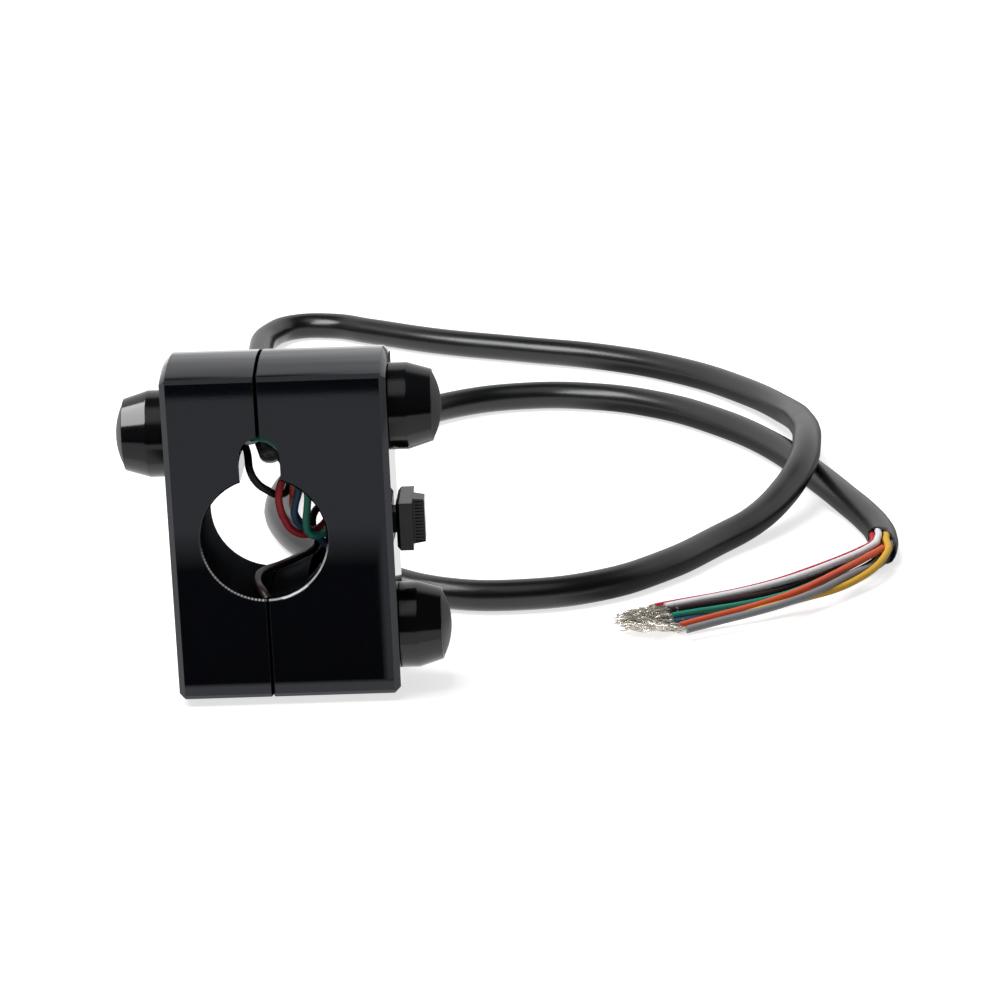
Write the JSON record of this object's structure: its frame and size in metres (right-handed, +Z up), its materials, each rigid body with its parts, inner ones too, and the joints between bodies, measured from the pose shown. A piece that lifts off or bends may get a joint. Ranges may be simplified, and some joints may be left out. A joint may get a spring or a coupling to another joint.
{
  "type": "handlebar switch cluster",
  "caption": "Two-piece clamp housing for a round handlebar with push buttons, a slide switch and a sleeved cable that ends in stripped leads.",
  "frame": {"origin": "bar axis at the middle of the clamp", "axes": "+X out of the switch face, +Y along the bar towards the cable, +Z up"},
  "size_m": [0.1434, 0.2559, 0.0616],
  "materials": {
    "black_anodised": "gloss black anodised over a fine machined surface",
    "black_bezel": "gloss black anodised, turned",
    "cap_plastic": "moulded, satin dark grey",
    "slide_plastic": "moulded, satin black",
    "inner_plastic": "moulded black insulator",
    "terminal_board": "brown laminate board",
    "brass": "stamped contact brass",
    "plated_steel": "zinc plated",
    "black_steel": "black oxide",
    "cable_sleeve": "soft black PVC, satin",
    "tinned_copper": "tinned copper strands",
    "wire_red": "PVC insulation",
    "wire_white": "PVC insulation",
    "wire_maroon": "PVC insulation",
    "wire_green": "PVC insulation",
    "wire_black": "PVC insulation",
    "wire_blue": "PVC insulation",
    "wire_yellow": "PVC insulation",
    "wire_orange": "PVC insulation",
    "wire_grey": "PVC insulation"
  },
  "bodies": {
    "housing": {"rear_housing": "black_anodised", "front_housing": "black_anodised", "clamp_screws": "black_steel", "slide_frame": "plated_steel", "slide_base": "terminal_board", "slide_terminals": "brass", "slide_screws": "plated_steel", "cable_sleeve": "cable_sleeve", "stripped_ends": "tinned_copper", "upper_bezel": "black_bezel", "upper_spring": "plated_steel", "upper_contact_base": "inner_plastic", "upper_terminals": "brass", "lower_bezel": "black_bezel", "lower_spring": "plated_steel", "lower_contact_base": "inner_plastic", "lower_terminals": "brass", "rear_bezel": "black_bezel", "rear_spring": "plated_steel", "rear_contact_base": "inner_plastic", "rear_terminals": "brass", "lead_red": "wire_red", "inner_red": "wire_red", "lead_white": "wire_white", "inner_white": "wire_white", "lead_maroon": "wire_maroon", "inner_maroon": "wire_maroon", "lead_green": "wire_green", "inner_green": "wire_green", "lead_black": "wire_black", "inner_black": "wire_black", "lead_blue": "wire_blue", "inner_blue": "wire_blue", "lead_yellow": "wire_yellow", "inner_yellow": "wire_yellow", "lead_orange": "wire_orange", "inner_orange": "wire_orange", "lead_grey": "wire_grey", "inner_grey": "wire_grey"},
    "upper_button": {"upper_cap": "cap_plastic", "upper_contact": "brass"},
    "lower_button": {"lower_cap": "cap_plastic", "lower_contact": "brass"},
    "rear_button": {"rear_cap": "cap_plastic", "rear_contact": "brass"},
    "slide_switch": {"slide_cap": "slide_plastic", "slide_actuator": "inner_plastic", "slide_wiper": "brass"}
  },
  "joints": [
    {"name": "upper_press", "type": "slide", "parent": "housing", "child": "upper_button", "axis": [-1, 0, 0], "range_m": [0, 0.0015], "stiffness_N_per_m": 800, "springref_m": -0.0005, "deforming": ["upper_spring"]},
    {"name": "lower_press", "type": "slide", "parent": "housing", "child": "lower_button", "axis": [-1, 0, 0], "range_m": [0, 0.0015], "stiffness_N_per_m": 800, "springref_m": -0.0005, "deforming": ["lower_spring"]},
    {"name": "rear_press", "type": "slide", "parent": "housing", "child": "rear_button", "axis": [1, 0, 0], "range_m": [0, 0.0015], "stiffness_N_per_m": 800, "springref_m": -0.0005, "deforming": ["rear_spring"]},
    {"name": "slide_shift", "type": "slide", "parent": "housing", "child": "slide_switch", "axis": [0, 1, 0], "range_m": [-0.003, 0.003]}
  ]
}
